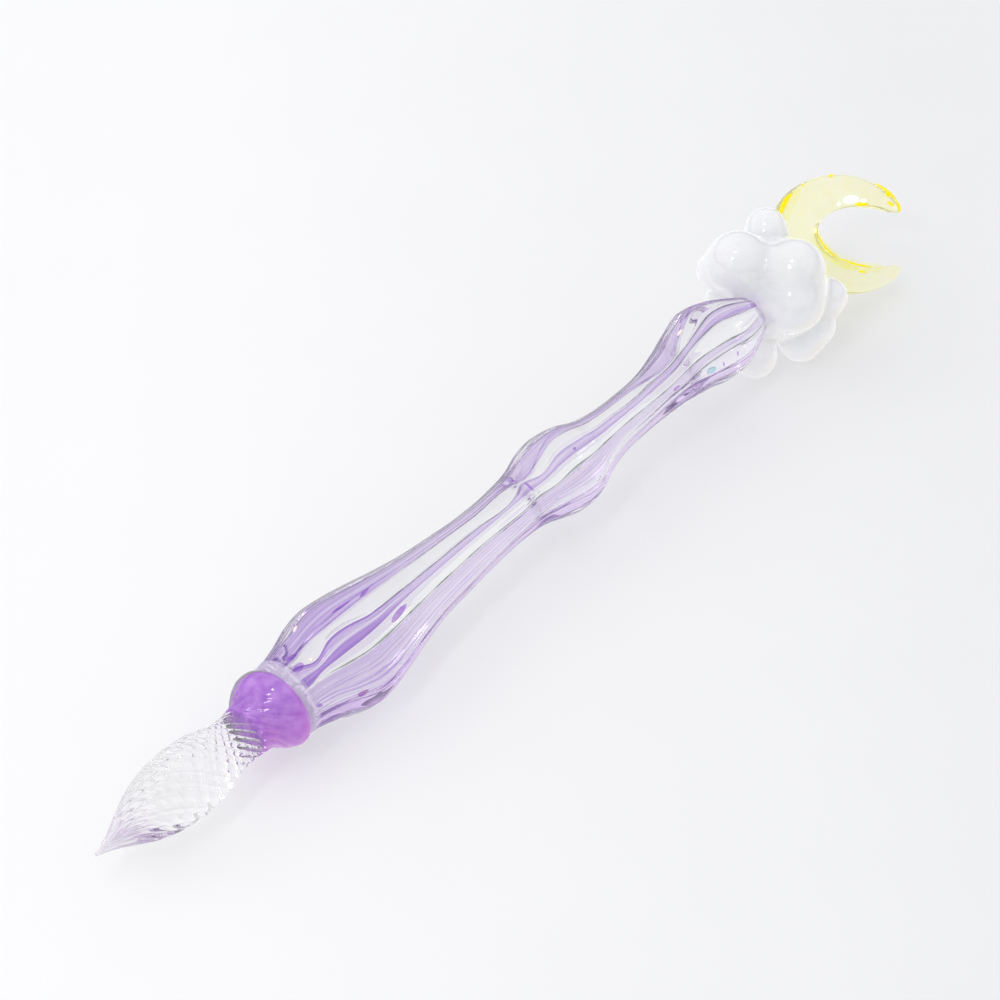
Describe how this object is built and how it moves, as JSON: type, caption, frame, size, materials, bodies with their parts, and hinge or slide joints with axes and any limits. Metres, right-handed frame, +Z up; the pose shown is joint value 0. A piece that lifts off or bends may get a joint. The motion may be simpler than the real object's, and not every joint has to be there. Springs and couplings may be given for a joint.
{
  "type": "glass dip pen",
  "caption": "All-glass dip pen lying down: twisted fluted nib, violet collar bead, striped waisted handle, and a white cloud with a yellow crescent moon at the end.",
  "frame": {"origin": "centre of the pen's bounding box on the table plane it lies on", "axes": "+X along the pen from the nib tip towards the moon, +Z up from the table, +Y to the left of the pen seen from the nib"},
  "size_m": [0.1706, 0.0208, 0.0218],
  "materials": {
    "nib_glass": "clear, fire polished, twisted flutes",
    "collar_glass": "violet, glossy, nearly opaque",
    "shoulder_glass": "clear with a trace of violet, glossy",
    "core_glass": "clear, glossy",
    "cane_glass": "transparent violet, glossy",
    "rib_glass": "clear, fire polished",
    "opal_glass": "white opal, glossy",
    "moon_glass": "pale yellow, glossy, with deeper yellow streaks"
  },
  "bodies": {
    "root": {"clear_rib_1": "rib_glass", "clear_rib_2": "rib_glass", "clear_rib_3": "rib_glass", "clear_rib_4": "rib_glass", "clear_rib_5": "rib_glass", "clear_rib_6": "rib_glass", "clear_rib_7": "rib_glass", "clear_rib_8": "rib_glass", "cloud_core": "opal_glass", "cloud_puff_01": "opal_glass", "cloud_puff_02": "opal_glass", "cloud_puff_03": "opal_glass", "cloud_puff_04": "opal_glass", "cloud_puff_05": "opal_glass", "cloud_puff_06": "opal_glass", "cloud_puff_07": "opal_glass", "cloud_puff_08": "opal_glass", "cloud_puff_09": "opal_glass", "cloud_puff_10": "opal_glass", "cloud_puff_11": "opal_glass", "cloud_puff_12": "opal_glass", "cloud_puff_13": "opal_glass", "collar": "collar_glass", "core_rod": "core_glass", "moon_crescent": "moon_glass", "nib": "nib_glass", "shoulder_ring": "shoulder_glass", "violet_cane_1": "cane_glass", "violet_cane_2": "cane_glass", "violet_cane_3": "cane_glass", "violet_cane_4": "cane_glass", "violet_cane_5": "cane_glass", "violet_cane_6": "cane_glass", "violet_cane_7": "cane_glass", "violet_cane_8": "cane_glass"}
  },
  "joints": []
}
